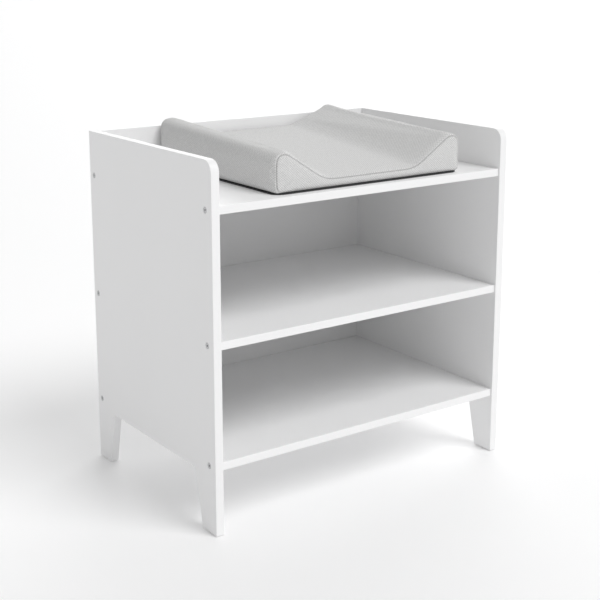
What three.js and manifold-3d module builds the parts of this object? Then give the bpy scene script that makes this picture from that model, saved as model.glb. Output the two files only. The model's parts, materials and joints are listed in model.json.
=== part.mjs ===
// A changing table: two side panels with integral legs, three fixed shelves, a back rail,
// a thin back panel, flat-pack fasteners, and a loose contoured changing pad.
// Millimetres. X runs to the right, Y to the back, Z up. The origin is the middle of the footprint.
import * as THREE from "three";
import { mergeVertices } from "three/addons/utils/BufferGeometryUtils.js";
import Module from "manifold-3d";

const wasm = await Module();
wasm.setup();

// Overall size
const WIDTH = 912;
const DEPTH = 606;
const HEIGHT = 900;

// Boards
const SIDE_THICKNESS = 22;
const SHELF_THICKNESS = 20;
const RAIL_THICKNESS = 18;
const BACK_THICKNESS = 4;
const SHELF_TOPS = { top: 795, middle: 477, bottom: 182 };
const SHELF_SETBACK = 5; // the shelves' front edges stand behind the side panels' front edges
const RABBET_WIDTH = 10; // the step in each side panel that holds an edge of the back panel
const CORNER_RADIUS = 30; // the side panels' front top corner
const EASED = 1.2; // the radius of every eased board edge
const EASED_STEPS = 2;

// Legs, cut into the lower edge of each side panel
const APRON_HEIGHT = 146; // from the floor to the panel's lower edge between its legs
const LEG_TOP_WIDTH = 95;
const LEG_FOOT_WIDTH = 63;
const GLIDE_HEIGHT = 2;
const GLIDE_RADIUS = 9;
const GLIDE_SPIGOT = { radius: 2.5, length: 10 };

// Fasteners
const BOLT = { headRadius: 7.5, headHeight: 2.6, shankRadius: 3, length: 55, socketAcross: 5, socketDepth: 3.6 };
const BOLT_RECESS = 0.3; // the head's face lies this far inside the panel's outer face
const BOLT_FROM_FRONT = 28; // measured from the side panel's front edge
const BOLT_FROM_BACK = 22; // measured from the side panel's back edge
const BARREL_NUT = { radius: 5, length: 14, fromShelfEnd: 26 };
const DOWEL = { radius: 4, length: 30, inPanel: 10.5 };
const BACK_SCREW = { headRadius: 3.6, shankRadius: 1.75, length: 25 };
const BACK_SCREW_SPACING = 360;
const RAIL_SCREW = { headRadius: 4.4, shankRadius: 2.25, length: 50 };
const RAIL_SCREW_SPACING = 440;
const RAIL_DOWEL_HEIGHT = 55; // above the changing shelf

// Changing pad: two raised sides and a flat valley between them, all higher at the back end
const PAD = { width: 585, length: 559.5, centreX: 27.5, frontY: -276.5 };
const PAD_CREST = 101.5; // all pad heights are measured from the underside of its cover
const PAD_VALLEY = 26.5;
const PAD_CREST_RISE = 25; // how much higher the raised sides are at the back end than at the front
const PAD_VALLEY_RISE = 50;
const PAD_FOOT = 15; // nothing below this height rises
const PAD_LOWER_RADIUS = 14; // along the pad's long lower edges
const PAD_END_RADIUS = 10; // round each end of the pad, under the lower radius so both can be offset
const COVER_THICKNESS = 2;
const COVER_HEM = 45; // how far the fitted cover returns under the foam
const GRIP_SHEET = { thickness: 2.5, inset: 4, cornerRadius: 26 };

// Working values
const GAP = 0.3; // the clearance between neighbouring pieces
const BORE_CLEARANCE = 0.4; // the radial clearance of a pin, dowel or shank in its bore
const BORE_SIDES = 8; // the facets of a hidden bore
const OVERSHOOT = 2; // how far a cutter reaches outside the face that it enters
const INNER_HALF = WIDTH / 2 - SIDE_THICKNESS; // from the middle to a side panel's inner face
const SHELF_HALF = INNER_HALF - GAP;
const FRONT = -DEPTH / 2;
const BACK = DEPTH / 2;
const PANEL_FOOT = GLIDE_HEIGHT + GAP;
const SHELF_BACK = BACK - BACK_THICKNESS - GAP;
const BOLT_ROWS = { front: FRONT + BOLT_FROM_FRONT, back: BACK - BOLT_FROM_BACK };
const SIDES = { left: -1, right: 1 };
const RAIL_Y = BACK - RAIL_THICKNESS / 2;
const RAIL_BOTTOM = SHELF_TOPS.top + GAP;

const X_AXIS = new THREE.Vector3(1, 0, 0);
const Y_AXIS = new THREE.Vector3(0, 1, 0);
const Z_AXIS = new THREE.Vector3(0, 0, 1);

const LACQUER = { color: 0xf2f2f1, roughness: 0.45, metalness: 0 };
const HARDBOARD = { color: 0xececea, roughness: 0.6, metalness: 0 };
const ZINC = { color: 0xa9abae, roughness: 0.35, metalness: 0.9 };
const BEECH = { color: 0xd9bd93, roughness: 0.7, metalness: 0 };
const GLIDE_PLASTIC = { color: 0xdedede, roughness: 0.6, metalness: 0 };
const FABRIC = { color: 0xcfcfce, roughness: 0.95, metalness: 0 };
const FOAM = { color: 0xf1ead2, roughness: 1, metalness: 0 };
const GRIP = { color: 0x2b2b2d, roughness: 0.9, metalness: 0 };

// ---- Solids -------------------------------------------------------------------------------

function solidOf(geometry) {
  const bare = geometry.clone();
  bare.deleteAttribute("normal");
  bare.deleteAttribute("uv");
  const merged = mergeVertices(bare);
  const triVerts = new Uint32Array(merged.index.array);
  const vertProperties = merged.attributes.position.array;
  return new wasm.Manifold(new wasm.Mesh({ numProp: 3, vertProperties, triVerts }));
}

function geometryOf(solid) {
  const mesh = solid.getMesh();
  const indexed = new THREE.BufferGeometry();
  indexed.setAttribute("position", new THREE.BufferAttribute(mesh.vertProperties, 3));
  indexed.setIndex(new THREE.BufferAttribute(mesh.triVerts, 1));
  const flat = indexed.toNonIndexed();
  flat.computeVertexNormals();
  return flat;
}

// The geometry with every cutter taken out of it.
function carve(geometry, cutters) {
  let solid = solidOf(geometry);
  for (const cutter of cutters) solid = solid.subtract(solidOf(cutter));
  return geometryOf(solid);
}

// A cylinder that starts at a mouth point, a little outside the face, and runs inwards.
function drill(mouth, inward, radius, depth, sides = BORE_SIDES) {
  const cutter = new THREE.CylinderGeometry(radius, radius, depth + OVERSHOOT, sides);
  cutter.applyQuaternion(new THREE.Quaternion().setFromUnitVectors(Y_AXIS, inward));
  const middle = mouth.clone().addScaledVector(inward, (depth - OVERSHOOT) / 2);
  return cutter.translate(middle.x, middle.y, middle.z);
}

// An outline drawn in (Y, Z) and pushed along X, centred on X = 0.
function alongX(outline, length, options = {}) {
  const geometry = new THREE.ExtrudeGeometry(outline, { depth: length, bevelEnabled: false, ...options });
  geometry.translate(0, 0, -length / 2);
  return geometry.applyMatrix4(new THREE.Matrix4().makeBasis(Y_AXIS, Z_AXIS, X_AXIS));
}

// A rectangle with a chosen radius at each corner: front bottom, back bottom, back top, front top.
function roundedRectangle(x0, y0, x1, y1, radii) {
  const [frontBottom, backBottom, backTop, frontTop] = radii;
  const outline = new THREE.Shape();
  outline.moveTo(x0 + frontBottom, y0);
  outline.lineTo(x1 - backBottom, y0);
  if (backBottom) outline.absarc(x1 - backBottom, y0 + backBottom, backBottom, -Math.PI / 2, 0);
  outline.lineTo(x1, y1 - backTop);
  if (backTop) outline.absarc(x1 - backTop, y1 - backTop, backTop, 0, Math.PI / 2);
  outline.lineTo(x0 + frontTop, y1);
  if (frontTop) outline.absarc(x0 + frontTop, y1 - frontTop, frontTop, Math.PI / 2, Math.PI);
  outline.lineTo(x0, y0 + frontBottom);
  if (frontBottom) {
    outline.absarc(x0 + frontBottom, y0 + frontBottom, frontBottom, Math.PI, Math.PI * 1.5);
  }
  return outline;
}

function named(name, geometry, finish) {
  const mesh = new THREE.Mesh(geometry, new THREE.MeshStandardMaterial(finish));
  mesh.name = name;
  return mesh;
}

// ---- Side panels --------------------------------------------------------------------------

// The outline in (Y, Z): upright outer edges, tapered legs and one rounded front top corner.
function sidePanelOutline() {
  const outline = new THREE.Shape();
  outline.moveTo(FRONT, PANEL_FOOT);
  outline.lineTo(FRONT + LEG_FOOT_WIDTH, PANEL_FOOT);
  outline.lineTo(FRONT + LEG_TOP_WIDTH, APRON_HEIGHT);
  outline.lineTo(BACK - LEG_TOP_WIDTH, APRON_HEIGHT);
  outline.lineTo(BACK - LEG_FOOT_WIDTH, PANEL_FOOT);
  outline.lineTo(BACK, PANEL_FOOT);
  outline.lineTo(BACK, HEIGHT);
  outline.lineTo(FRONT + CORNER_RADIUS, HEIGHT);
  const centre = [FRONT + CORNER_RADIUS, HEIGHT - CORNER_RADIUS];
  outline.absarc(...centre, CORNER_RADIUS, Math.PI / 2, Math.PI);
  return outline;
}

function shelfMiddle(level) {
  return SHELF_TOPS[level] - SHELF_THICKNESS / 2;
}

// The panel's own X = 0 is the middle of its thickness, and side is -1 for left and 1 for right.
function sidePanel(side) {
  const half = SIDE_THICKNESS / 2;
  const board = alongX(sidePanelOutline(), SIDE_THICKNESS - 2 * EASED, {
    curveSegments: 14,
    bevelEnabled: true,
    bevelThickness: EASED,
    bevelSize: EASED,
    bevelOffset: -EASED,
    bevelSegments: EASED_STEPS,
  });
  const inwards = X_AXIS.clone().multiplyScalar(-side);
  const outwards = X_AXIS.clone().multiplyScalar(side);
  const cutters = [];
  for (const level of Object.keys(SHELF_TOPS)) {
    const z = shelfMiddle(level);
    for (const y of Object.values(BOLT_ROWS)) {
      const mouth = new THREE.Vector3(side * half, y, z);
      const seat = BOLT_RECESS + BOLT.headHeight + GAP;
      cutters.push(drill(mouth, inwards, BOLT.headRadius + 0.5, seat, 20));
      cutters.push(drill(mouth, inwards, BOLT.shankRadius + BORE_CLEARANCE, SIDE_THICKNESS + OVERSHOOT));
    }
    const socket = new THREE.Vector3(-side * half, 0, z);
    cutters.push(drill(socket, outwards, DOWEL.radius + BORE_CLEARANCE, DOWEL.inPanel + GAP));
  }
  const railSocket = new THREE.Vector3(-side * half, RAIL_Y, SHELF_TOPS.top + RAIL_DOWEL_HEIGHT);
  cutters.push(drill(railSocket, outwards, DOWEL.radius + BORE_CLEARANCE, DOWEL.inPanel + GAP));
  for (const end of [-1, 1]) {
    const foot = new THREE.Vector3(0, end * (BACK - LEG_FOOT_WIDTH / 2), PANEL_FOOT);
    cutters.push(drill(foot, Z_AXIS, GLIDE_SPIGOT.radius + BORE_CLEARANCE, GLIDE_SPIGOT.length + 1));
  }
  const rabbetBottom = SHELF_TOPS.bottom - SHELF_THICKNESS - GAP;
  const rabbetHeight = RAIL_BOTTOM - rabbetBottom;
  const rabbet = new THREE.BoxGeometry(
    RABBET_WIDTH + OVERSHOOT,
    BACK_THICKNESS + GAP + OVERSHOOT,
    rabbetHeight,
  );
  rabbet.translate(
    -side * (half - RABBET_WIDTH / 2 + OVERSHOOT / 2),
    BACK - (BACK_THICKNESS + GAP - OVERSHOOT) / 2,
    rabbetBottom + rabbetHeight / 2,
  );
  cutters.push(rabbet);
  return carve(board, cutters);
}

// ---- Shelves, rail and back ---------------------------------------------------------------

// A shelf with its top face at Z = 0: eased front edge, end bores, nut pockets and rear pilots.
function shelf(level) {
  const profile = roundedRectangle(
    FRONT + SHELF_SETBACK, -SHELF_THICKNESS, SHELF_BACK, 0, [EASED, 0, 0, EASED],
  );
  const board = alongX(profile, 2 * SHELF_HALF, { curveSegments: EASED_STEPS });
  const middle = -SHELF_THICKNESS / 2;
  const cutters = [];
  for (const side of Object.values(SIDES)) {
    const inwards = X_AXIS.clone().multiplyScalar(-side);
    const end = side * SHELF_HALF;
    for (const y of Object.values(BOLT_ROWS)) {
      const boltTip = BOLT_RECESS + BOLT.length - SIDE_THICKNESS;
      const mouth = new THREE.Vector3(end, y, middle);
      cutters.push(drill(mouth, inwards, BOLT.shankRadius + BORE_CLEARANCE, boltTip + 2));
      const pocket = new THREE.Vector3(end - side * BARREL_NUT.fromShelfEnd, y, -SHELF_THICKNESS);
      const pocketDepth = SHELF_THICKNESS / 2 + BARREL_NUT.length / 2 + GAP;
      cutters.push(drill(pocket, Z_AXIS, BARREL_NUT.radius + BORE_CLEARANCE, pocketDepth, 14));
    }
    const dowelDepth = DOWEL.length - DOWEL.inPanel + GAP;
    const dowelMouth = new THREE.Vector3(end, 0, middle);
    cutters.push(drill(dowelMouth, inwards, DOWEL.radius + BORE_CLEARANCE, dowelDepth));
  }
  const forwards = Y_AXIS.clone().negate();
  for (const step of [-1, 0, 1]) {
    const mouth = new THREE.Vector3(step * BACK_SCREW_SPACING, SHELF_BACK, middle);
    cutters.push(drill(mouth, forwards, BACK_SCREW.shankRadius + BORE_CLEARANCE, BACK_SCREW.length));
  }
  if (level === "top") {
    for (const side of Object.values(SIDES)) {
      const mouth = new THREE.Vector3(side * RAIL_SCREW_SPACING / 2, RAIL_Y, -SHELF_THICKNESS);
      cutters.push(drill(mouth, Z_AXIS, RAIL_SCREW.shankRadius + BORE_CLEARANCE, 2 * SHELF_THICKNESS));
      cutters.push(countersink(RAIL_SCREW, mouth, Z_AXIS));
    }
  }
  return carve(board, cutters);
}

// The gallery board above the changing shelf, with its lower edge at Z = 0.
function backRail() {
  const height = HEIGHT - RAIL_BOTTOM;
  const half = RAIL_THICKNESS / 2;
  const profile = roundedRectangle(-half, 0, half, height, [0, 0, EASED, EASED]);
  const board = alongX(profile, 2 * SHELF_HALF, { curveSegments: EASED_STEPS });
  const cutters = [];
  for (const side of Object.values(SIDES)) {
    const inwards = X_AXIS.clone().multiplyScalar(-side);
    const socket = new THREE.Vector3(side * SHELF_HALF, 0, RAIL_DOWEL_HEIGHT - GAP);
    const dowelDepth = DOWEL.length - DOWEL.inPanel + GAP;
    cutters.push(drill(socket, inwards, DOWEL.radius + BORE_CLEARANCE, dowelDepth));
    const pilot = new THREE.Vector3(side * RAIL_SCREW_SPACING / 2, 0, 0);
    const pilotDepth = RAIL_SCREW.length - SHELF_THICKNESS + 1;
    cutters.push(drill(pilot, Z_AXIS, RAIL_SCREW.shankRadius + BORE_CLEARANCE, pilotDepth));
  }
  return carve(board, cutters);
}

// The thin board that closes both compartments, with its rear face at Y = 0.
function backPanel() {
  const width = 2 * (INNER_HALF + RABBET_WIDTH - GAP);
  const bottom = SHELF_TOPS.bottom - SHELF_THICKNESS;
  const height = SHELF_TOPS.top - bottom;
  const board = new THREE.BoxGeometry(width, BACK_THICKNESS, height);
  board.translate(0, -BACK_THICKNESS / 2, bottom + height / 2);
  const forwards = Y_AXIS.clone().negate();
  const cutters = [];
  for (const level of Object.keys(SHELF_TOPS)) {
    for (const step of [-1, 0, 1]) {
      const mouth = new THREE.Vector3(step * BACK_SCREW_SPACING, 0, shelfMiddle(level));
      cutters.push(drill(mouth, forwards, BACK_SCREW.shankRadius + BORE_CLEARANCE, 2 * BACK_THICKNESS));
      cutters.push(countersink(BACK_SCREW, mouth, forwards));
    }
  }
  return carve(board, cutters);
}

// ---- Fasteners ----------------------------------------------------------------------------

// A profile of (radius, height) pairs turned about Y, with height 0 at the head's outer face.
function turned(pairs, sides) {
  const points = pairs.map(([radius, height]) => new THREE.Vector2(radius, -height));
  return new THREE.LatheGeometry(points.reverse(), sides);
}

// A connector bolt: a flat head with a hexagon socket, on a plain shank with a chamfered tip.
function connectorBolt() {
  const { headRadius, headHeight, shankRadius, length } = BOLT;
  const body = turned([
    [0, 0],
    [headRadius - 0.5, 0],
    [headRadius, 0.5],
    [headRadius, headHeight],
    [shankRadius, headHeight],
    [shankRadius, length - 1],
    [shankRadius - 1, length],
    [0, length],
  ], 20);
  const socketRadius = BOLT.socketAcross / Math.sqrt(3);
  const down = Y_AXIS.clone().negate();
  return carve(body, [drill(new THREE.Vector3(), down, socketRadius, BOLT.socketDepth, 6)]);
}

// A barrel nut standing on Z, with a cross bore for the bolt along X and a slot in its lower end.
function barrelNut() {
  const { radius, length } = BARREL_NUT;
  const body = new THREE.CylinderGeometry(radius, radius, length, 12);
  body.rotateX(Math.PI / 2);
  const bore = drill(
    new THREE.Vector3(-radius, 0, 0), X_AXIS, BOLT.shankRadius + BORE_CLEARANCE, 2 * radius + OVERSHOOT,
  );
  const slot = new THREE.BoxGeometry(3 * radius, 1.4, 3);
  slot.translate(0, 0, -length / 2);
  return carve(body, [bore, slot]);
}

// The outline shared by a countersunk screw and its seat, grown by a clearance.
function countersunkProfile({ headRadius, shankRadius }, clearance) {
  const cone = headRadius - shankRadius;
  return [
    [headRadius + clearance, 0],
    [headRadius + clearance, 0.4 + clearance],
    [shankRadius + clearance, 0.4 + clearance + cone],
  ];
}

// A cross-headed wood screw, its head flush with Y = 0 and its point downwards.
function woodScrew(size) {
  const { shankRadius, length } = size;
  const head = countersunkProfile(size, 0);
  const body = turned([[0, 0], ...head, [shankRadius, length - 4], [0, length]], 12);
  const recess = [0, Math.PI / 2].map((turn) => {
    const blade = new THREE.BoxGeometry(size.headRadius * 1.1, 2.4, 0.8);
    return blade.rotateY(turn);
  });
  return carve(body, recess);
}

// The seat cut for a countersunk screw whose head is flush with the face at the mouth.
function countersink(size, mouth, inward) {
  const seat = countersunkProfile(size, BORE_CLEARANCE);
  const [rim] = seat;
  const depth = seat[seat.length - 1][1];
  const cutter = turned([[0, -OVERSHOOT], [rim[0], -OVERSHOOT], ...seat, [0, depth]], 12);
  const down = Y_AXIS.clone().negate();
  cutter.applyQuaternion(new THREE.Quaternion().setFromUnitVectors(down, inward));
  return cutter.translate(mouth.x, mouth.y, mouth.z);
}

// A beech dowel along X with chamfered ends, centred on the origin.
function dowel() {
  const { radius, length } = DOWEL;
  const half = length / 2;
  const body = turned([
    [0, -half],
    [radius - 0.8, -half],
    [radius, 0.8 - half],
    [radius, half - 0.8],
    [radius - 0.8, half],
    [0, half],
  ], 12);
  return body.rotateZ(Math.PI / 2);
}

// A foot glide: a low disc on the floor with a spigot that is driven up into the leg.
function glide() {
  const rim = 0.6;
  const points = [
    [0, 0],
    [GLIDE_RADIUS - rim, 0],
    [GLIDE_RADIUS, rim],
    [GLIDE_RADIUS, GLIDE_HEIGHT],
    [GLIDE_SPIGOT.radius, GLIDE_HEIGHT],
    [GLIDE_SPIGOT.radius, GLIDE_HEIGHT + GLIDE_SPIGOT.length],
    [0, GLIDE_HEIGHT + GLIDE_SPIGOT.length],
  ];
  const profile = points.map(([radius, height]) => new THREE.Vector2(radius, height));
  return new THREE.LatheGeometry(profile, 16).rotateX(Math.PI / 2);
}

// ---- Changing pad -------------------------------------------------------------------------

// The right half of the pad's cross-section, from the bottom middle round to the valley, as
// curves in (X, Z); the left half is the same outline mirrored.
function padOutline() {
  const side = PAD.width / 2;
  const crest = PAD_CREST;
  const valley = PAD_VALLEY;
  const right = new THREE.Path();
  right.moveTo(side - PAD_LOWER_RADIUS, 0);
  right.absarc(side - PAD_LOWER_RADIUS, PAD_LOWER_RADIUS, PAD_LOWER_RADIUS, -Math.PI / 2, 0);
  right.lineTo(side, crest - 27);
  right.bezierCurveTo(side, crest - 9, side - 10, crest, side - 26, crest);
  right.bezierCurveTo(side - 38, crest, side - 50, crest - 10, side - 62, crest - 18);
  right.lineTo(side - 122, crest - 57);
  right.bezierCurveTo(side - 140, crest - 68.5, side - 152, valley, side - 176, valley);
  const points = right.getPoints(4);
  const left = points.map((point) => new THREE.Vector2(-point.x, point.y)).reverse();
  return new THREE.Shape([...points, ...left]);
}

// The pad's closed form, drawn in by an inset all over, standing on Z = inset.
function padForm(inset) {
  const edge = PAD_END_RADIUS - inset;
  const geometry = new THREE.ExtrudeGeometry(padOutline(), {
    depth: PAD.length - 2 * (inset + edge),
    bevelEnabled: true,
    bevelThickness: edge,
    bevelSize: edge,
    bevelOffset: -inset - edge,
    bevelSegments: 2,
    steps: 6,
  });
  geometry.translate(0, 0, inset + edge);
  geometry.rotateX(Math.PI / 2);
  return raiseBack(geometry.translate(0, PAD.length, 0));
}

// Raises the pad's upper surface evenly from its front end to its back end, most in the valley.
function raiseBack(geometry) {
  const side = PAD.width / 2;
  const place = geometry.getAttribute("position");
  for (let i = 0; i < place.count; i += 1) {
    if (place.getZ(i) < PAD_FOOT) continue;
    const toSide = THREE.MathUtils.smoothstep(Math.abs(place.getX(i)), side - 150, side - 40);
    const rise = THREE.MathUtils.lerp(PAD_VALLEY_RISE, PAD_CREST_RISE, toSide);
    place.setZ(i, place.getZ(i) + (rise * place.getY(i)) / PAD.length);
  }
  return geometry;
}

// The fitted cover: a fabric skin that wraps under the foam and leaves its underside open.
function padCover() {
  const window = new THREE.BoxGeometry(
    PAD.width - 2 * COVER_HEM, PAD.length - 2 * COVER_HEM, 4 * COVER_THICKNESS,
  );
  window.translate(0, PAD.length / 2, 0);
  return carve(padForm(0), [padForm(COVER_THICKNESS), window]);
}

function padCore() {
  return padForm(COVER_THICKNESS + GAP);
}

// The anti-slip sheet under the pad, with its lower face at Z = 0.
function gripSheet() {
  const { thickness, inset, cornerRadius } = GRIP_SHEET;
  const half = PAD.width / 2 - inset;
  const radii = Array(4).fill(cornerRadius);
  const outline = roundedRectangle(-half, inset, half, PAD.length - inset, radii);
  return new THREE.ExtrudeGeometry(outline, { depth: thickness, bevelEnabled: false, curveSegments: 5 });
}

// ---- Assembly -----------------------------------------------------------------------------

const changingTable = new THREE.Group();
const carcass = new THREE.Group();
const fasteners = new THREE.Group();
const pad = new THREE.Group();
changingTable.add(carcass, fasteners, pad);

for (const [sideName, side] of Object.entries(SIDES)) {
  const panel = named(`${sideName}_side_panel`, sidePanel(side), LACQUER);
  panel.position.x = side * (WIDTH - SIDE_THICKNESS) / 2;
  carcass.add(panel);
}

const SHELF_NAMES = { top: "changing_shelf", middle: "middle_shelf", bottom: "bottom_shelf" };
for (const [level, z] of Object.entries(SHELF_TOPS)) {
  const board = named(SHELF_NAMES[level], shelf(level), LACQUER);
  board.position.z = z;
  carcass.add(board);
}

const rail = named("back_rail", backRail(), LACQUER);
rail.position.set(0, RAIL_Y, RAIL_BOTTOM);
const closingPanel = named("back_panel", backPanel(), HARDBOARD);
closingPanel.position.y = BACK;
carcass.add(rail, closingPanel);

for (const [sideName, side] of Object.entries(SIDES)) {
  for (const level of Object.keys(SHELF_TOPS)) {
    const z = shelfMiddle(level);
    for (const [row, y] of Object.entries(BOLT_ROWS)) {
      const bolt = named(`bolt_${sideName}_${level}_${row}`, connectorBolt(), ZINC);
      bolt.position.set(side * (WIDTH / 2 - BOLT_RECESS), y, z);
      bolt.rotation.z = -side * Math.PI / 2;
      const nut = named(`barrel_nut_${sideName}_${level}_${row}`, barrelNut(), ZINC);
      nut.position.set(side * (SHELF_HALF - BARREL_NUT.fromShelfEnd), y, z);
      fasteners.add(bolt, nut);
    }
    const pin = named(`dowel_${sideName}_${level}`, dowel(), BEECH);
    pin.position.set(side * (INNER_HALF + DOWEL.inPanel - DOWEL.length / 2), 0, z);
    fasteners.add(pin);
  }
  const railPin = named(`rail_dowel_${sideName}`, dowel(), BEECH);
  railPin.position.set(
    side * (INNER_HALF + DOWEL.inPanel - DOWEL.length / 2), RAIL_Y, SHELF_TOPS.top + RAIL_DOWEL_HEIGHT,
  );
  const railScrew = named(`rail_screw_${sideName}`, woodScrew(RAIL_SCREW), ZINC);
  railScrew.position.set(side * RAIL_SCREW_SPACING / 2, RAIL_Y, SHELF_TOPS.top - SHELF_THICKNESS);
  railScrew.rotation.x = -Math.PI / 2;
  fasteners.add(railPin, railScrew);
  for (const [row, end] of [["front", -1], ["back", 1]]) {
    const foot = named(`glide_${sideName}_${row}`, glide(), GLIDE_PLASTIC);
    foot.position.set(side * (WIDTH - SIDE_THICKNESS) / 2, end * (BACK - LEG_FOOT_WIDTH / 2), 0);
    fasteners.add(foot);
  }
}

for (const level of Object.keys(SHELF_TOPS)) {
  for (const [place, step] of [["left", -1], ["centre", 0], ["right", 1]]) {
    const screw = named(`back_screw_${level}_${place}`, woodScrew(BACK_SCREW), ZINC);
    screw.position.set(step * BACK_SCREW_SPACING, BACK, shelfMiddle(level));
    fasteners.add(screw);
  }
}

pad.position.set(PAD.centreX, PAD.frontY, SHELF_TOPS.top + GAP);
const coverBottom = GRIP_SHEET.thickness + GAP;
const cover = named("pad_cover", padCover(), FABRIC);
const core = named("pad_core", padCore(), FOAM);
cover.position.z = coverBottom;
core.position.z = coverBottom;
pad.add(cover, core, named("pad_grip_sheet", gripSheet(), GRIP));

export default changingTable;
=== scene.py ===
"""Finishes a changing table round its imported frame: boards, hardware, a sewn pad and a plain studio."""

import json
import math

import bmesh
import bpy
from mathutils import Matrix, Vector, kdtree
from mathutils.geometry import interpolate_bezier


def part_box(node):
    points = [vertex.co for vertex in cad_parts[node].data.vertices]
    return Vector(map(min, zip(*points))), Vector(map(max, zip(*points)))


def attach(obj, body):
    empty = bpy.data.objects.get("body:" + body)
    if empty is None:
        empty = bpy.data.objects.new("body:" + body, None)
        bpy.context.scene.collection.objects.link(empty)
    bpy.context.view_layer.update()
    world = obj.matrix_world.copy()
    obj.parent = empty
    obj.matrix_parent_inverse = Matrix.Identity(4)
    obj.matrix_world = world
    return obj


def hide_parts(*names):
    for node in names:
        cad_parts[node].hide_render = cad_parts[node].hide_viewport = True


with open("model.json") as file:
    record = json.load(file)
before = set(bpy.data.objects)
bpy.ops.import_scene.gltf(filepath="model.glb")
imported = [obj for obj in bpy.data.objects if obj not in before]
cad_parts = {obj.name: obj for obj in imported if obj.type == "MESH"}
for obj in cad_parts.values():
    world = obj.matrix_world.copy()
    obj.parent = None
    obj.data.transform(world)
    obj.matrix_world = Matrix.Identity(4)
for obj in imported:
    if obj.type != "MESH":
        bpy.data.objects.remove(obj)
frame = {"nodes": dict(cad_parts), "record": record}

bl_info = {
    "name": "Changing Table",
    "version": (1, 0, 0),
    "blender": (4, 5, 0),
    "location": "3D View > Sidebar > Changing Table",
    "description": "Finishes a changing table and its contoured pad round a packed frame",
    "category": "Object",
}

MM = 0.001
PAD_LOW, PAD_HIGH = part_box("pad_cover")
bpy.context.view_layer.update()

# Sockets of a Mix node, by number because its data types share their names
MIX_FACTOR = 0
FLOAT_A, FLOAT_B, FLOAT_RESULT = 2, 3, 0
COLOUR_A, COLOUR_B, COLOUR_RESULT = 6, 7, 2

# Surfaces, with the scale of each noise in cells to the metre
WHITE = (1, 1, 1, 1)
STITCH_ASPECT = 1.2  # how much closer the knit's rows are than its columns
WANDER_SCALE = 60.0  # how the rows and columns wander
FIBRE_SCALE = 1500.0  # loose fibres
TONE_SCALE = 240.0  # lighter and darker patches of the knit
GRAIN_SCALE = (18, 420, 420)  # the beech's grain, drawn out along the dowels
SEAM_PAINTED_SHADE = (0.66, 0.66, 0.66, 1)  # painted shade: multiplies the fabric's colour down in a seam's groove

# The pad's form
SPARE = 20 * MM  # how far the extruded form reaches below the underside before it is cut there
RISE_BLEND = (150 * MM, 40 * MM)  # in from the side, where the valley's rise turns into the crest's
TOUCHING = 0.01 * MM  # an edge this close to the underside lies in it

# The cloth simulation
PIN_GROUP = "held still"
PINNED_HEIGHT = 2 * MM  # the cover is held still below this height
LAST_FRAME = 20

# The end seams
# The mask of where the material paints shade into the fabric's colour, down in each seam's groove
PAINTED_GROOVE_SHADE_MASK = "seam"
SEAM_STEP = 1 * MM  # between neighbouring points of a seam's line
SEAM_PASSES = 6  # of smoothing along that line
CARRIERS = 4  # the vertices of the cover that a point of the line moves with
SEAM_FADE = (3 * MM, 8 * MM)  # the heights between which a seam comes out, above the underside
SEAM_REACHES = (8 * MM, 4.5 * MM)  # the mesh's cells are halved within the first, then the second
GROOVE_WIDTH = 1.5 * MM
ROLL_OFFSET = 3.8 * MM  # from the seam to the top of the soft roll beside it
ROLL_WIDTH = 1.8 * MM
ROLL_HEIGHT = 0.6 * MM

FLOOR_RADIUS = 300  # wide enough for the floor's edge to lie on the horizon


# ---- Settings --------------------------------------------------------------------------


class BoardSettings(bpy.types.PropertyGroup):
    """The lacquer on the boards and the paint on the thin back panel."""

    lacquer: bpy.props.FloatVectorProperty(
        name="Lacquer", description="Colour of the satin lacquer",
        subtype="COLOR", size=3, min=0, max=1, default=(0.925, 0.925, 0.927))
    lacquer_roughness: bpy.props.FloatProperty(
        name="Lacquer Roughness", description="Roughness of the satin lacquer where it is cleanest",
        subtype="FACTOR", min=0, max=1, default=0.38)
    peel_pitch: bpy.props.FloatProperty(
        name="Peel Pitch", description="Distance between the ripples of the sprayed film",
        unit="LENGTH", min=0.0005, default=0.0028)
    back_paint: bpy.props.FloatVectorProperty(
        name="Back Paint", description="Colour of the painted hardboard",
        subtype="COLOR", size=3, min=0, max=1, default=(0.88, 0.88, 0.883))


class HardwareSettings(bpy.types.PropertyGroup):
    """The metal, beech and plastic of the fasteners and glides."""

    zinc: bpy.props.FloatVectorProperty(
        name="Zinc", description="Colour of the zinc-plated steel",
        subtype="COLOR", size=3, min=0, max=1, default=(0.6, 0.603, 0.61))
    beech: bpy.props.FloatVectorProperty(
        name="Beech", description="Mean colour of the dowels",
        subtype="COLOR", size=3, min=0, max=1, default=(0.66, 0.47, 0.29))
    glide: bpy.props.FloatVectorProperty(
        name="Glide", description="Colour of the plastic glides",
        subtype="COLOR", size=3, min=0, max=1, default=(0.62, 0.62, 0.61))


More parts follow.
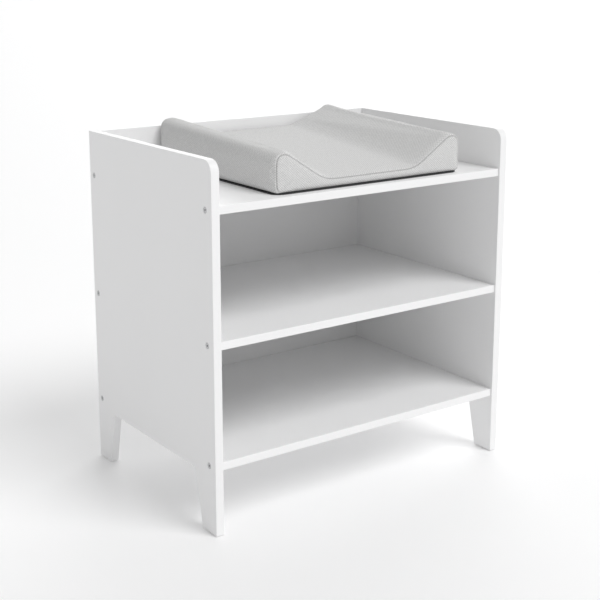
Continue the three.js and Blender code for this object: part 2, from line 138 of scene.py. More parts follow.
class PadSettings(bpy.types.PropertyGroup):
    """The shape, stuffing and fabric of the changing pad."""

    fabric: bpy.props.FloatVectorProperty(
        name="Fabric", description="Colour of the knitted cover",
        subtype="COLOR", size=3, min=0, max=1, default=(0.645, 0.645, 0.641))
    stitch_width: bpy.props.FloatProperty(
        name="Stitch Width", description="Distance between two stitches of the knit, along a row",
        unit="LENGTH", min=0.001, default=0.007)
    crest_height: bpy.props.FloatProperty(
        name="Crest Height", description="Height of the raised sides at the front, above the underside",
        unit="LENGTH", min=0.06, default=0.1015)
    valley_height: bpy.props.FloatProperty(
        name="Valley Height", description="Height of the flat valley at the front, above the underside",
        unit="LENGTH", min=0.005, default=0.0265)
    crest_rise: bpy.props.FloatProperty(
        name="Crest Rise", description="How much higher the raised sides are at the back end",
        unit="LENGTH", min=0, default=0.025)
    valley_rise: bpy.props.FloatProperty(
        name="Valley Rise", description="How much higher the valley is at the back end",
        unit="LENGTH", min=0, default=0.05)
    end_radius: bpy.props.FloatProperty(
        name="End Radius", description="Rounding of the top and upright edges at each end",
        unit="LENGTH", min=0.004, default=0.012)
    lower_radius: bpy.props.FloatProperty(
        name="Lower Radius", description="Rounding of the edges of the underside",
        unit="LENGTH", min=0.001, default=0.005)
    draw_in: bpy.props.FloatProperty(
        name="Draw In", description="How much smaller the cover starts, before the foam fills it",
        unit="LENGTH", min=0, default=0.002)
    swell: bpy.props.FloatProperty(
        name="Swell", description="The furthest that the filled cover may bulge",
        unit="LENGTH", min=0, default=0.003)
    voxel: bpy.props.FloatProperty(
        name="Voxel", description="Size of the mesh cells for the cloth simulation",
        unit="LENGTH", min=0.003, default=0.006)
    seam_in: bpy.props.FloatProperty(
        name="Seam In", description="Distance of each end seam behind the pad's end face",
        unit="LENGTH", min=0, default=0.0035)
    seam_depth: bpy.props.FloatProperty(
        name="Seam Depth", description="How far the stitching draws the cover in",
        unit="LENGTH", min=0, default=0.0019)
    # The grip sheet's near-black colour is painted shadow: it stands for the dark contact line under the
    # pad
    grip: bpy.props.FloatVectorProperty(
        name="Grip Sheet", description="Colour of the anti-slip sheet",
        subtype="COLOR", size=3, min=0, max=1, default=(0.03, 0.03, 0.032))


class StudioSettings(bpy.types.PropertyGroup):
    """The floor, the light and the camera."""

    floor: bpy.props.FloatVectorProperty(
        name="Floor", description="Colour of the plain floor",
        subtype="COLOR", size=3, min=0, max=1, default=(0.9, 0.9, 0.903))
    floor_glow: bpy.props.FloatProperty(
        name="Floor Glow", description="A little light from the floor, which softens its shadows",
        min=0, default=0.09)
    ambient: bpy.props.FloatProperty(
        name="Ambient", description="Strength of the even light from all round", min=0, default=0.478)
    backdrop: bpy.props.FloatProperty(
        name="Backdrop", description="How light the surroundings look to the camera",
        min=0, max=1, default=0.985)
    key: bpy.props.FloatProperty(
        name="Key", description="Strength of the soft light from the front right", min=0, default=1.48)
    key_from: bpy.props.FloatVectorProperty(
        name="Key From", description="The direction that the key light comes from",
        subtype="DIRECTION", size=3, default=(0.24, -0.6, 0.766))
    key_softness: bpy.props.FloatProperty(
        name="Key Softness", description="How wide the key light looks from the table",
        subtype="ANGLE", min=0, default=math.radians(33))
    fill: bpy.props.FloatProperty(
        name="Fill", description="Strength of the low, wide light from the back right", min=0, default=1.05)
    fill_from: bpy.props.FloatVectorProperty(
        name="Fill From", description="The direction that the fill light comes from",
        subtype="DIRECTION", size=3, default=(0.66, 0.66, 0.34))
    fill_softness: bpy.props.FloatProperty(
        name="Fill Softness", description="How wide the fill light looks from the table",
        subtype="ANGLE", min=0, default=math.radians(50))
    camera_at: bpy.props.FloatVectorProperty(
        name="Camera At", description="Where the camera stands",
        subtype="TRANSLATION", size=3, default=(-1.8322, -2.5664, 1.3289))
    camera_turn: bpy.props.FloatProperty(
        name="Camera Turn", description="How far the camera looks to the right of straight ahead",
        subtype="ANGLE", default=0.6207)
    camera_dip: bpy.props.FloatProperty(
        name="Camera Dip", description="How far the camera looks down",
        subtype="ANGLE", default=0.2161)
    lens: bpy.props.FloatProperty(
        name="Lens", description="Focal length on a 36 mm sensor", unit="CAMERA", default=72.8)
    shift: bpy.props.FloatProperty(
        name="Shift", description="Vertical shift of the lens, as a part of the frame", default=-0.12)


# ---- Node helpers ----------------------------------------------------------------------


def fill_inputs(tree, node, inputs):
    """Links a node's inputs to the sockets given, and sets the others to plain values."""
    for name, value in inputs.items():
        if isinstance(value, bpy.types.NodeSocket):
            tree.links.new(value, node.inputs[name])
        else:
            node.inputs[name].default_value = value


def add_node(tree, kind, inputs=None, **settings):
    """Adds a node, sets its properties and fills its inputs."""
    made = tree.nodes.new(kind)
    for name, value in settings.items():
        setattr(made, name, value)
    fill_inputs(tree, made, inputs or {})
    return made


def calculate(tree, operation, *values):
    """A Math node's result."""
    return add_node(tree, "ShaderNodeMath", dict(enumerate(values)), operation=operation).outputs[0]


def between(tree, mask, at_none, at_full):
    """A value that follows a mask from one end of a range to the other."""
    return calculate(tree, "MULTIPLY_ADD", mask, at_full - at_none, at_none)


def noise(tree, vector, scale, detail, **more):
    """A Noise Texture's value. Other inputs are given by name."""
    inputs = {"Vector": vector, "Scale": scale, "Detail": detail, **more}
    return add_node(tree, "ShaderNodeTexNoise", inputs).outputs["Fac"]


def new_group(name, inputs, outputs):
    """A shader node group with the named float, vector or colour sockets."""
    tree = bpy.data.node_groups.new(name, "ShaderNodeTree")
    for socket_name, kind in inputs:
        tree.interface.new_socket(socket_name, in_out="INPUT", socket_type=kind)
    for socket_name, kind in outputs:
        tree.interface.new_socket(socket_name, in_out="OUTPUT", socket_type=kind)
    return tree, tree.nodes.new("NodeGroupInput"), tree.nodes.new("NodeGroupOutput")


def use_group(tree, name, inputs):
    """Places a group in a material, on the piece's own coordinates, and gives its outputs."""
    vector = tree.nodes.new("ShaderNodeTexCoord").outputs["Object"]
    inputs = {"Vector": vector, **inputs}
    return add_node(tree, "ShaderNodeGroup", inputs, node_tree=bpy.data.node_groups[name]).outputs


def choose_value(tree, mask, otherwise, chosen):
    """One of two values, by a mask of 0 or 1."""
    inputs = {MIX_FACTOR: mask, FLOAT_A: otherwise, FLOAT_B: chosen}
    return add_node(tree, "ShaderNodeMix", inputs, data_type="FLOAT").outputs[FLOAT_RESULT]


def shaded(colour, factor):
    """The colour, lightened or darkened, with full alpha."""
    return (*(min(1.0, channel * factor) for channel in colour), 1)


def vary_colour(tree, mask, colour, darkest, lightest):
    """A colour that follows a mask from a darker shade of itself to a lighter one."""
    inputs = {MIX_FACTOR: mask, COLOUR_A: shaded(colour, darkest), COLOUR_B: shaded(colour, lightest)}
    return add_node(tree, "ShaderNodeMix", inputs, data_type="RGBA").outputs[COLOUR_RESULT]


def bumped(tree, height, depth, strength):
    """A normal that follows a height."""
    inputs = {"Height": height, "Distance": depth, "Strength": strength}
    return add_node(tree, "ShaderNodeBump", inputs).outputs["Normal"]


def new_material(name):
    """A material, with its node tree and its Principled shader."""
    material = bpy.data.materials.new(name)
    material.use_nodes = True
    return material, material.node_tree, material.node_tree.nodes["Principled BSDF"]


# ---- Shared effects --------------------------------------------------------------------


def build_film_group():
    """The ripple of a sprayed or moulded film, and the slow drift of its tone."""
    tree, given, result = new_group(
        "Sprayed Film",
        [("Vector", "NodeSocketVector"), ("Pitch", "NodeSocketFloat"), ("Drift Size", "NodeSocketFloat")],
        [("Ripple", "NodeSocketFloat"), ("Drift", "NodeSocketFloat")])
    vector, pitch, drift_size = (given.outputs[name] for name in ("Vector", "Pitch", "Drift Size"))
    fine = noise(tree, vector, calculate(tree, "DIVIDE", 1.0, pitch), 2.0, Roughness=0.4)
    slow = noise(tree, vector, calculate(tree, "DIVIDE", 1.0, drift_size), 3.0, Roughness=0.55)
    fill_inputs(tree, result, {"Ripple": fine, "Drift": slow})


def build_handling_group():
    """Faint smudges where hands have been, from clear to smudged."""
    tree, given, result = new_group(
        "Handling",
        [("Vector", "NodeSocketVector"), ("Patch Size", "NodeSocketFloat")],
        [("Smudge", "NodeSocketFloat")])
    scale = calculate(tree, "DIVIDE", 1.0, given.outputs["Patch Size"])
    patches = noise(tree, given.outputs["Vector"], scale, 5.0, Roughness=0.62, Distortion=0.6)
    ramp = add_node(tree, "ShaderNodeMapRange", {"Value": patches, "From Min": 0.46, "From Max": 0.68})
    fill_inputs(tree, result, {"Smudge": ramp.outputs["Result"]})


def build_knit_group():
    """Staggered stitches, laid along whichever two axes lie in the surface. Their shade is painted shade of
    the stitch relief, lighter on top and darker between, plus random tone.
    """
    tree, given, result = new_group(
        "Knit",
        [("Vector", "NodeSocketVector"), ("Stitch Width", "NodeSocketFloat"),
         ("Unevenness", "NodeSocketFloat")],
        [("Height", "NodeSocketFloat"), ("Shade", "NodeSocketFloat")])
    vector = given.outputs["Vector"]
    place = add_node(tree, "ShaderNodeSeparateXYZ", {"Vector": vector}).outputs
    facing = tree.nodes.new("ShaderNodeNewGeometry").outputs["True Normal"]
    normal = add_node(tree, "ShaderNodeSeparateXYZ", {"Vector": facing}).outputs
    nx, ny, nz = (calculate(tree, "ABSOLUTE", normal[axis]) for axis in "XYZ")
    is_side = calculate(tree, "GREATER_THAN", nx, calculate(tree, "MAXIMUM", ny, nz))
    is_end = calculate(tree, "GREATER_THAN", ny, calculate(tree, "MAXIMUM", nx, nz))
    is_upright = calculate(tree, "MAXIMUM", is_side, is_end)
    across = choose_value(tree, is_side, place["X"], place["Y"])
    along = choose_value(tree, is_upright, place["Y"], place["Z"])
    wander = noise(tree, vector, WANDER_SCALE, 1.0)
    drift = calculate(tree, "MULTIPLY", wander, given.outputs["Unevenness"])
    across_turns = calculate(tree, "DIVIDE", math.tau, given.outputs["Stitch Width"])
    along_turns = calculate(tree, "MULTIPLY", across_turns, STITCH_ASPECT)
    columns, rows = (
        calculate(tree, "SINE", calculate(tree, "MULTIPLY_ADD", line, turns, drift))
        for line, turns in ((across, across_turns), (along, along_turns)))
    bumps = calculate(tree, "MULTIPLY_ADD", calculate(tree, "MULTIPLY", columns, rows), 0.5, 0.5)
    fibres = noise(tree, vector, FIBRE_SCALE, 3.0)
    tone = calculate(tree, "MULTIPLY_ADD", noise(tree, vector, TONE_SCALE, 1.0), 0.7, -0.23)
    fill_inputs(tree, result, {
        "Height": calculate(tree, "MULTIPLY_ADD", fibres, 0.3, bumps),
        # The shade that colours the material: painted shade following the stitches' height, plus random
        # tone
        "Shade": calculate(tree, "MULTIPLY_ADD", bumps, 0.8, tone),
    })


def sprayed_film(tree, pitch, drift_size):
    """The ripple and the drift of a film on this material."""
    film = use_group(tree, "Sprayed Film", {"Pitch": pitch, "Drift Size": drift_size})
    return film["Ripple"], film["Drift"]


def handling(tree, patch_size):
    """The smudges on this material."""
    return use_group(tree, "Handling", {"Patch Size": patch_size})["Smudge"]


def knit(tree, stitch_width, unevenness):
    """The height and the shade of a knit on this material; the shade is painted shade of the stitches plus
    random tone.
    """
    stitches = use_group(tree, "Knit", {"Stitch Width": stitch_width, "Unevenness": unevenness})
    return stitches["Height"], stitches["Shade"]


# ---- Materials -------------------------------------------------------------------------


def board_material(name, colour, roughness, pitch, ripple_depth):
    """A sprayed board finish: even colour with a slow drift, fine ripple and faint smudges."""
    material, tree, shader = new_material(name)
    ripple, drift = sprayed_film(tree, pitch, drift_size=0.22)
    smudged = calculate(tree, "MULTIPLY_ADD", handling(tree, patch_size=0.11), 0.09, roughness)
    fill_inputs(tree, shader, {
        "IOR": 1.5,
        "Base Color": vary_colour(tree, drift, colour, darkest=0.985, lightest=1.012),
        "Roughness": calculate(tree, "MULTIPLY_ADD", drift, 0.05, smudged),
        "Normal": bumped(tree, ripple, ripple_depth, strength=0.5),
    })
    return material


def zinc_material(settings):
    """Zinc plating: a pale metal with a cloudy tone and handled patches."""
    material, tree, shader = new_material("Zinc Plated Steel")
    ripple, drift = sprayed_film(tree, pitch=0.9 * MM, drift_size=6 * MM)
    fill_inputs(tree, shader, {
        "Metallic": 0.85,
        "Base Color": vary_colour(tree, drift, settings.zinc, darkest=0.8, lightest=1.12),
        "Roughness": between(tree, handling(tree, patch_size=4 * MM), 0.36, 0.5),
        "Normal": bumped(tree, ripple, depth=0.06 * MM, strength=0.5),
    })
    return material


def beech_material(settings):
    """Planed beech, with its grain along the dowels."""
    material, tree, shader = new_material("Beech")
    vector = tree.nodes.new("ShaderNodeTexCoord").outputs["Object"]
    drawn_out = add_node(tree, "ShaderNodeMapping", {"Vector": vector, "Scale": GRAIN_SCALE})
    grain = noise(tree, drawn_out.outputs["Vector"], 1.0, 4.0, Roughness=0.6)
    fill_inputs(tree, shader, {
        "Base Color": vary_colour(tree, grain, settings.beech, darkest=0.72, lightest=1.2),
        "Roughness": 0.62,
        "Normal": bumped(tree, grain, depth=0.3 * MM, strength=0.6),
    })
    return material


def glide_material(settings):
    """Moulded grey plastic with a fine grain."""
    material, tree, shader = new_material("Glide Plastic")
    ripple, drift = sprayed_film(tree, pitch=1.1 * MM, drift_size=8 * MM)
    fill_inputs(tree, shader, {
        "IOR": 1.46,
        "Base Color": vary_colour(tree, drift, settings.glide, darkest=0.86, lightest=1.08),
        "Roughness": between(tree, ripple, 0.42, 0.62),
        "Normal": bumped(tree, ripple, depth=0.1 * MM, strength=0.6),
    })
    return material


def pad_material(settings):
    """Knitted polyester: staggered stitches in height and colour, the colour partly painted shade between
    the stitches and partly random tone, with painted shade down in the seams.
    """
    material, tree, shader = new_material("Pad Knit")
    height, shade = knit(tree, settings.stitch_width, unevenness=2.2)
    seam = add_node(tree, "ShaderNodeAttribute", attribute_name=PAINTED_GROOVE_SHADE_MASK).outputs["Fac"]
    # The cloth's colour follows the knit's shade: painted shade between the stitches, plus random tone
    cloth = vary_colour(tree, shade, settings.fabric, darkest=0.78, lightest=1.22)
    # Painted shade in the seams: the fabric's colour is multiplied down in each groove
    cloth_with_painted_seam_shade = add_node(
        tree, "ShaderNodeMix", {MIX_FACTOR: seam, COLOUR_A: cloth, COLOUR_B: SEAM_PAINTED_SHADE},
        data_type="RGBA", blend_type="MULTIPLY")
    fill_inputs(tree, shader, {
        "Sheen Weight": 0.06,
        "Sheen Roughness": 0.4,
        "Base Color": cloth_with_painted_seam_shade.outputs[COLOUR_RESULT],
        "Roughness": between(tree, shade, 0.97, 0.85),
        "Normal": bumped(tree, height, depth=0.8 * MM, strength=0.55),
    })
    return material


def painted_shadow_sheet_material(settings):
    """Near-black sheet, painted shadow for the dark contact line under the pad, with a close pattern of
    raised anti-slip dots.
    """
    material, tree, shader = new_material("Anti-slip Sheet")
    height, shade = knit(tree, stitch_width=6 * MM, unevenness=0.3)
    fill_inputs(tree, shader, {
        "IOR": 1.5,
        # The sheet's colour follows the dots' height: painted shade, lighter on the dots and darker between
        # them
        "Base Color": vary_colour(tree, shade, settings.grip, darkest=0.7, lightest=1.5),
        "Roughness": between(tree, shade, 0.85, 0.65),
        "Normal": bumped(tree, height, depth=0.8 * MM, strength=0.8),
    })
    return material


def floor_material(settings):
    """A plain pale floor with a faint drift, and a little light of its own."""
    material, tree, shader = new_material("Studio Floor")
    ripple, drift = sprayed_film(tree, pitch=4 * MM, drift_size=1.4)
    fill_inputs(tree, shader, {
        "Specular IOR Level": 0.25,
        "Emission Color": WHITE,
        "Emission Strength": settings.floor_glow,
        "Base Color": vary_colour(tree, drift, settings.floor, darkest=0.992, lightest=1.008),
        "Roughness": between(tree, ripple, 0.58, 0.66),
    })
    return material


def paint_nodes(names, material):
    """Puts one material on each of the frame's named nodes."""
    for name in names:
        mesh = frame["nodes"][name].data
        mesh.materials.clear()
        mesh.materials.append(material)


def nodes_of_slot(slot):
    """The frame's nodes that take their finish from one of the record's material slots."""
    return [part["node"] for part in frame["record"]["subparts"] if part["material_slot"] == slot]


# ---- Pieces ----------------------------------------------------------------------------


def new_piece(name, mesh, material, body):
    """Links a finished mesh at the origin, riding on a body."""
    piece = bpy.data.objects.new(name, mesh)
    bpy.context.scene.collection.objects.link(piece)
    mesh.materials.append(material)
    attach(piece, body)
    return piece


def apply_modifiers(piece):
    """Works the piece's modifiers into its mesh."""
    bpy.context.view_layer.update()
    graph = bpy.context.evaluated_depsgraph_get()
    mesh = bpy.data.meshes.new_from_object(piece.evaluated_get(graph))
    piece.modifiers.clear()
    piece.data = mesh


def curve_between(points, steps):
    """Points along a smooth curve from the first point to the last, without the last."""
    start, start_handle, end_handle, end = (Vector((x, z, 0)) for x, z in points)
    return [(p.x, p.y) for p in interpolate_bezier(start, start_handle, end_handle, end, steps + 1)[:-1]]


def pad_section(side, crest, valley):
    """The right half of the cross-section from the lower corner to the valley, as (x, z)."""

    def place(inward, down):
        """A point by its millimetres in from the side and down from the crest."""
        return side - inward * MM, crest - down * MM

    wall_top, shoulder = place(0, 27), place(26, 0)
    slope_top, slope_foot = place(62, 18), place(122, 57)
    valley_handle, valley_edge = (side - 152 * MM, valley), (side - 176 * MM, valley)
    return [
        (side, -SPARE),
        *curve_between([wall_top, place(0, 9), place(10, 0), shoulder], 5),
        *curve_between([shoulder, place(38, 0), place(50, 10), slope_top], 4),
        *curve_between([slope_foot, place(140, 68.5), valley_handle, valley_edge], 5),
        valley_edge,
    ]


def smoothstep(value, low, high):
    """0 below low, 1 above high, and a smooth step between them."""
    part = min(1.0, max(0.0, (value - low) / (high - low)))
    return part * part * (3 - 2 * part)


def round_end(bm, face, radius, steps=4):
    """Rounds the rim of an end face by insets that follow a quarter of a circle."""
    turns = [math.pi / 2 * step / steps for step in range(steps + 1)]
    for before, after in zip(turns, turns[1:]):
        inward = radius * (math.cos(before) - math.cos(after))
        outward = radius * (math.sin(after) - math.sin(before))
        bmesh.ops.inset_region(bm, faces=[face], thickness=inward, depth=outward, use_even_offset=True)


def raise_back(bm, middle, side, settings):
    """Raises the form evenly from its front to its back, by more in the valley than at its sides."""
    valley_ends, crest_starts = (side - inward for inward in RISE_BLEND)
    for vertex in bm.verts:
        if vertex.co.z > PAD_LOW.z + settings.lower_radius:
            to_crest = smoothstep(abs(vertex.co.x - middle), valley_ends, crest_starts)
            rise = settings.valley_rise + (settings.crest_rise - settings.valley_rise) * to_crest
            vertex.co.z += rise * (vertex.co.y - PAD_LOW.y) / (PAD_HIGH.y - PAD_LOW.y)


def flatten_underside(bm, radius):
    """Cuts the form off at the pad's underside, closes it, and rounds the edges there."""
    low = PAD_LOW.z
    everything = [*bm.verts, *bm.edges, *bm.faces]
    cut = bmesh.ops.bisect_plane(
        bm, geom=everything, plane_co=(0, 0, low), plane_no=(0, 0, 1), clear_inner=True)["geom_cut"]
    rim = [item for item in cut if isinstance(item, bmesh.types.BMEdge)]
    bmesh.ops.contextual_create(bm, geom=rim)
    under = [edge for edge in bm.edges if all(abs(v.co.z - low) < TOUCHING for v in edge.verts)]
    bmesh.ops.bevel(
        bm, geom=under, offset=radius, offset_type="OFFSET", segments=3, profile=0.5,
        affect="EDGES", clamp_overlap=True, material=-1)


def pad_form(settings):
    """The pad's closed form, a little small: an extruded section with rounded ends and edges."""
    inset, radius = settings.draw_in, settings.end_radius
    middle, side = (PAD_LOW.x + PAD_HIGH.x) / 2, (PAD_HIGH.x - PAD_LOW.x) / 2 - inset
    front, length = PAD_LOW.y + inset + radius, PAD_HIGH.y - PAD_LOW.y - 2 * (inset + radius)
    right = pad_section(side, settings.crest_height - inset, settings.valley_height - inset)
    left = [(-x, z) for x, z in reversed(right)]
    bm = bmesh.new()
    corners = [bm.verts.new((middle + x, front, PAD_LOW.z + z)) for x, z in [*right, *left]]
    first = bm.faces.new(corners)
    pushed = bmesh.ops.extrude_face_region(bm, geom=[first], use_keep_orig=True)["geom"]
    far = [item for item in pushed if isinstance(item, bmesh.types.BMVert)]
    bmesh.ops.translate(bm, verts=far, vec=(0, length, 0))
    bmesh.ops.recalc_face_normals(bm, faces=bm.faces)
    ends = [face for face in bm.faces if abs(face.normal.y) > 0.99]
    for end in ends:
        round_end(bm, end, radius)
    raise_back(bm, middle, side, settings)
    flatten_underside(bm, settings.lower_radius)
    mesh = bpy.data.meshes.new("pad form")
    bm.to_mesh(mesh)
    bm.free()
    return mesh


def even_cells(piece, size):
    """Remeshes a piece into small even cells, and takes off their steps."""
    remesh = piece.modifiers.new("Remesh", "REMESH")
    remesh.mode = "VOXEL"
    remesh.voxel_size = size
    smooth = piece.modifiers.new("Smooth", "SMOOTH")
    smooth.iterations = 2
    apply_modifiers(piece)
    if not piece.data.polygons:
        raise RuntimeError("the pad's cover came out empty")


def inflate(piece, swell):
    """Fills the cover: cloth under pressure, held at its underside, with its movement capped."""
    start = [vertex.co.copy() for vertex in piece.data.vertices]
    held = piece.vertex_groups.new(name=PIN_GROUP)
    held.add([i for i, co in enumerate(start) if co.z < PAD_LOW.z + PINNED_HEIGHT], 1.0, "REPLACE")
    cloth = piece.modifiers.new("Cloth", "CLOTH")
    cloth.settings.quality = 5
    cloth.settings.mass = 0.3
    cloth.settings.tension_stiffness = 18
    cloth.settings.compression_stiffness = 18
    cloth.settings.bending_stiffness = 0.6
    cloth.settings.vertex_group_mass = PIN_GROUP
    cloth.settings.use_pressure = True
    cloth.settings.uniform_pressure_force = 4
    cloth.settings.effector_weights.gravity = 0
    cloth.point_cache.frame_start = 1
    cloth.point_cache.frame_end = LAST_FRAME
    for frame_number in range(1, LAST_FRAME + 1):
        bpy.context.scene.frame_set(frame_number)
    apply_modifiers(piece)
    bpy.context.scene.frame_set(1)
    for vertex, at_start in zip(piece.data.vertices, start):
        move = vertex.co - at_start
        if move.length > swell:
            vertex.co = at_start + move.normalized() * swell


def section_loop(mesh, y):
    """The closed line where an upright plane at y cuts the mesh, as points in order."""
    bm = bmesh.new()
    bm.from_mesh(mesh)
    everything = [*bm.verts, *bm.edges, *bm.faces]
    cut = bmesh.ops.bisect_plane(bm, geom=everything, plane_co=(0, y, 0), plane_no=(0, 1, 0))["geom_cut"]
    edges = {item for item in cut if isinstance(item, bmesh.types.BMEdge)}
    vertex = max((v for edge in edges for v in edge.verts), key=lambda v: (v.co.z, v.co.x))
    points, seen = [], set()
    while vertex:
        points.append(vertex.co.copy())
        seen.add(vertex)
        ahead = [edge.other_vert(vertex) for edge in vertex.link_edges if edge in edges]
        vertex = next((v for v in ahead if v not in seen), None)
    bm.free()
    return points


def search_tree(points):
    """A tree that finds the nearest of the points."""
    tree = kdtree.KDTree(len(points))
    for i, point in enumerate(points):
        tree.insert(point, i)
    tree.balance()
    return tree


def carried(points, before, mesh):
    """Points on the form before it was filled, moved with the cover's nearest vertices."""
    tree = search_tree(before)
    moved = []
    for point in points:
        near = [i for _, i, _ in tree.find_n(point, CARRIERS)]
        shift = sum(((mesh.vertices[i].co - before[i]) for i in near), Vector()) / len(near)
        moved.append(point + shift)
    return moved


def evened(points, spacing):
    """A closed line's points, smoothed a little and spaced evenly."""
    for _ in range(SEAM_PASSES):
        after = [*points[1:], points[0]]
        points = [(points[i - 1] + point * 2 + after[i]) / 4 for i, point in enumerate(points)]
    closed = [*points, points[0]]
    made, left_over = [], 0.0
    for start, end in zip(closed, closed[1:]):
        length, at = (end - start).length, left_over
        while at < length:
            made.append(start.lerp(end, at / length))
            at += spacing
        left_over = at - length
    return made


def refine_near(bm, tree, reach):
    """Halves the mesh's cells within reach of a seam, and smooths the mesh there."""
    near = {v for v in bm.verts if tree.find(v.co)[2] < reach}
    edges = [edge for edge in bm.edges if edge.verts[0] in near and edge.verts[1] in near]
    bmesh.ops.subdivide_edges(bm, edges=edges, cuts=1, use_grid_fill=True)
    halved = [v for v in bm.verts if tree.find(v.co)[2] < reach]
    bmesh.ops.smooth_vert(
        bm, verts=halved, factor=0.5, use_axis_x=True, use_axis_y=True, use_axis_z=True)


def bell(distance, width):
    """1 at no distance, and close to 0 from twice the width."""
    return math.exp(-((distance / width) ** 2))


def sew(mesh, seams, depth):
    """Draws the cover in along each seam, with a soft roll on the main cover's side."""
    bm = bmesh.new()
    bm.from_mesh(mesh)
    every_point = [point for line, _ in seams for point in line]
    outward = [direction for line, direction in seams for _ in line]
    tree = search_tree(every_point)
    for reach in SEAM_REACHES:
        refine_near(bm, tree, reach)
    bm.normal_update()
    mask = bm.verts.layers.float.new(PAINTED_GROOVE_SHADE_MASK)
    for vertex in bm.verts:
        nearest, i, distance = tree.find(vertex.co)
        shown = smoothstep(nearest.z - PAD_LOW.z, *SEAM_FADE)
        groove = shown * bell(distance, GROOVE_WIDTH)
        # Stores each groove's weight, by which the material paints shade into the fabric's colour
        vertex[mask] = groove
        is_main = (vertex.co.y - nearest.y) * outward[i] < 0
        roll = shown * bell(distance - ROLL_OFFSET, ROLL_WIDTH) if is_main else 0.0
        vertex.co += vertex.normal * (ROLL_HEIGHT * roll - depth * groove)
    for vertex in bm.verts:
        vertex.co.z = max(vertex.co.z, PAD_LOW.z)
    bm.to_mesh(mesh)
    bm.free()


# ---- Studio ----------------------------------------------------------------------------


def studio_world(settings):
    """Even white light from all round, which looks near-white to the camera."""
    world = bpy.data.worlds.new("Studio Light")
    world.use_nodes = True
    tree = world.node_tree
    light = tree.nodes["Background"]
    fill_inputs(tree, light, {"Color": WHITE, "Strength": settings.ambient})
    seen = add_node(tree, "ShaderNodeBackground", {"Color": WHITE, "Strength": settings.backdrop})
    is_seen = tree.nodes.new("ShaderNodeLightPath").outputs["Is Camera Ray"]
    both = add_node(tree, "ShaderNodeMixShader", {0: is_seen, 1: light.outputs[0], 2: seen.outputs[0]})
    fill_inputs(tree, tree.nodes["World Output"], {"Surface": both.outputs[0]})
    return world


def add_sun(name, strength, direction, softness):
    """A distant light from the given direction."""
    sun = bpy.data.lights.new(name, "SUN")
    sun.energy = strength
    sun.angle = softness
    holder = bpy.data.objects.new(name, sun)
    holder.rotation_mode = "QUATERNION"
    holder.rotation_quaternion = Vector(direction).to_track_quat("Z", "Y")
    bpy.context.scene.collection.objects.link(holder)


def add_floor(settings):
    """A wide round floor under the table."""
    bm = bmesh.new()
    bmesh.ops.create_circle(bm, cap_ends=True, segments=96, radius=FLOOR_RADIUS)
    mesh = bpy.data.meshes.new("studio_floor")
    bm.to_mesh(mesh)
    bm.free()
    mesh.materials.append(floor_material(settings))
    floor = bpy.data.objects.new("studio_floor", mesh)
    bpy.context.scene.collection.objects.link(floor)


def add_camera(settings):
    """The camera, in front of the table and to its left."""
    lens = bpy.data.cameras.new("Camera")
    lens.sensor_width = 36
    lens.lens = settings.lens
    lens.shift_y = settings.shift
    camera = bpy.data.objects.new("Camera", lens)
    camera.location = settings.camera_at
    camera.rotation_euler = (math.pi / 2 - settings.camera_dip, 0, -settings.camera_turn)
    bpy.context.scene.collection.objects.link(camera)
    bpy.context.scene.camera = camera


# ---- Operators -------------------------------------------------------------------------


class FinishBoards(bpy.types.Operator):
    """Gives the boards their satin lacquer and the back panel its paint"""

    bl_idname = "changing_table.finish_boards"
    bl_label = "Boards"

    def execute(self, context):
        settings = context.scene.table_boards
        lacquer = board_material(
            "Satin Lacquer", settings.lacquer, settings.lacquer_roughness, settings.peel_pitch,
            ripple_depth=0.05 * MM)
        paint = board_material(
            "Back Panel Paint", settings.back_paint, roughness=0.55, pitch=1.6 * MM,
            ripple_depth=0.09 * MM)
        paint_nodes(nodes_of_slot("lacquered_board"), lacquer)
        paint_nodes(nodes_of_slot("back_board"), paint)
        return {"FINISHED"}


class FinishHardware(bpy.types.Operator):
    """Gives the bolts, nuts, screws, dowels and glides their finishes"""

    bl_idname = "changing_table.finish_hardware"
    bl_label = "Hardware"

    def execute(self, context):
        settings = context.scene.table_hardware
        paint_nodes(nodes_of_slot("zinc_steel"), zinc_material(settings))
        paint_nodes(nodes_of_slot("beech"), beech_material(settings))
        paint_nodes(nodes_of_slot("glide_plastic"), glide_material(settings))
        return {"FINISHED"}


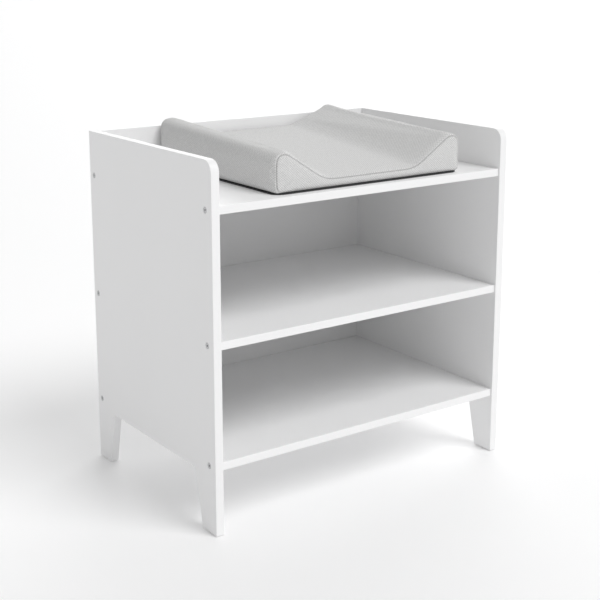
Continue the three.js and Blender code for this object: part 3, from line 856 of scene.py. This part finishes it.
class BuildPad(bpy.types.Operator):
    """Makes the padded cover with its end seams, and finishes the sheet under it"""

    bl_idname = "changing_table.build_pad"
    bl_label = "Changing Pad"

    def execute(self, context):
        settings = context.scene.table_pad
        form, fabric = pad_form(settings), pad_material(settings)
        pad = new_piece("changing_pad_cushion", form, fabric, "changing_pad")
        even_cells(pad, settings.voxel)
        seam_in = settings.draw_in + settings.seam_in
        ends = {PAD_LOW.y + seam_in: -1, PAD_HIGH.y - seam_in: 1}
        lines = [(section_loop(pad.data, y), outward) for y, outward in ends.items()]
        before = [vertex.co.copy() for vertex in pad.data.vertices]
        inflate(pad, settings.swell)
        seams = [(evened(carried(line, before, pad.data), SEAM_STEP), outward) for line, outward in lines]
        subdivision = pad.modifiers.new("Subdivision", "SUBSURF")
        subdivision.levels = 1
        subdivision.render_levels = 1
        apply_modifiers(pad)
        sew(pad.data, seams, settings.seam_depth)
        pad.data.shade_smooth()
        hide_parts("pad_cover", "pad_core")
        # The near-black sheet under the pad paints its contact shadow
        paint_nodes(["pad_grip_sheet"], painted_shadow_sheet_material(settings))
        return {"FINISHED"}


class BuildStudio(bpy.types.Operator):
    """Makes the floor, the light and the camera"""

    bl_idname = "changing_table.build_studio"
    bl_label = "Studio"

    def execute(self, context):
        settings = context.scene.table_studio
        context.scene.view_settings.view_transform = "Standard"
        add_floor(settings)
        context.scene.world = studio_world(settings)
        add_sun("Key Light", settings.key, settings.key_from, settings.key_softness)
        add_sun("Fill Light", settings.fill, settings.fill_from, settings.fill_softness)
        add_camera(settings)
        return {"FINISHED"}


class ChangingTablePanel(bpy.types.Panel):
    """Lists the steps and their settings in the 3D view's sidebar"""

    bl_idname = "VIEW3D_PT_changing_table"
    bl_label = "Changing Table"
    bl_space_type = "VIEW_3D"
    bl_region_type = "UI"
    bl_category = "Changing Table"

    def draw(self, context):
        for step in OPERATORS:
            self.layout.operator(step.bl_idname)
        for name in SETTINGS:
            group = getattr(context.scene, name)
            box = self.layout.box()
            for key in group.__annotations__:
                box.prop(group, key)


OPERATORS = (FinishBoards, FinishHardware, BuildPad, BuildStudio)
SETTINGS = {
    "table_boards": BoardSettings,
    "table_hardware": HardwareSettings,
    "table_pad": PadSettings,
    "table_studio": StudioSettings,
}
CLASSES = (*SETTINGS.values(), *OPERATORS, ChangingTablePanel)


def register():
    """Registers the classes, and gives the scene its settings."""
    for kind in CLASSES:
        bpy.utils.register_class(kind)
    for name, kind in SETTINGS.items():
        setattr(bpy.types.Scene, name, bpy.props.PointerProperty(type=kind))


def unregister():
    """Takes the settings and the classes away again."""
    for name in SETTINGS:
        delattr(bpy.types.Scene, name)
    for kind in reversed(CLASSES):
        bpy.utils.unregister_class(kind)


def main():
    """Runs every step in order."""
    register()
    build_film_group()
    build_handling_group()
    build_knit_group()
    bpy.ops.changing_table.finish_boards()
    bpy.ops.changing_table.finish_hardware()
    bpy.ops.changing_table.build_pad()
    bpy.ops.changing_table.build_studio()


if __name__ == "__main__":
    main()
